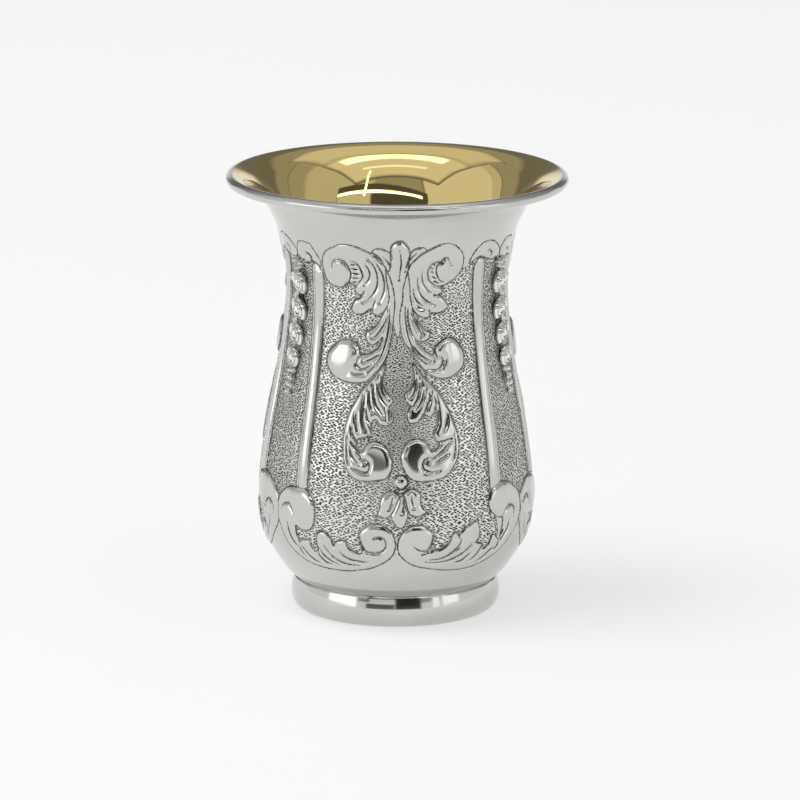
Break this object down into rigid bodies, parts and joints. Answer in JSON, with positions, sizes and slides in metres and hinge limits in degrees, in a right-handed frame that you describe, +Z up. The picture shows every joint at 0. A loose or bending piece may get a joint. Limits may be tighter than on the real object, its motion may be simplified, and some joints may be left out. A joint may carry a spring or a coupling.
{
  "type": "kiddush cup",
  "caption": "Footed silver wine cup with a flared lip, chased acanthus scroll panels between upright ribs, applied husk drops and a gilt inside.",
  "frame": {"origin": "centre of the circle the foot ring stands on, on the table plane", "axes": "+Z up through the mouth; -Y out through the middle of the first wide chased panel; +X to the right seen from the front"},
  "size_m": [0.065, 0.065, 0.084],
  "materials": {
    "chased_silver": "satin-polished sterling silver, oxidised dark in the chased lines and the matted ground",
    "polished_silver": "mirror-polished sterling silver",
    "cast_silver": "polished cast silver with blackened recesses"
  },
  "bodies": {
    "root": {"bowl": "chased_silver", "foot_ring": "polished_silver", "husk_drop_right": "cast_silver", "husk_drop_back": "cast_silver", "husk_drop_left": "cast_silver"}
  },
  "joints": []
}
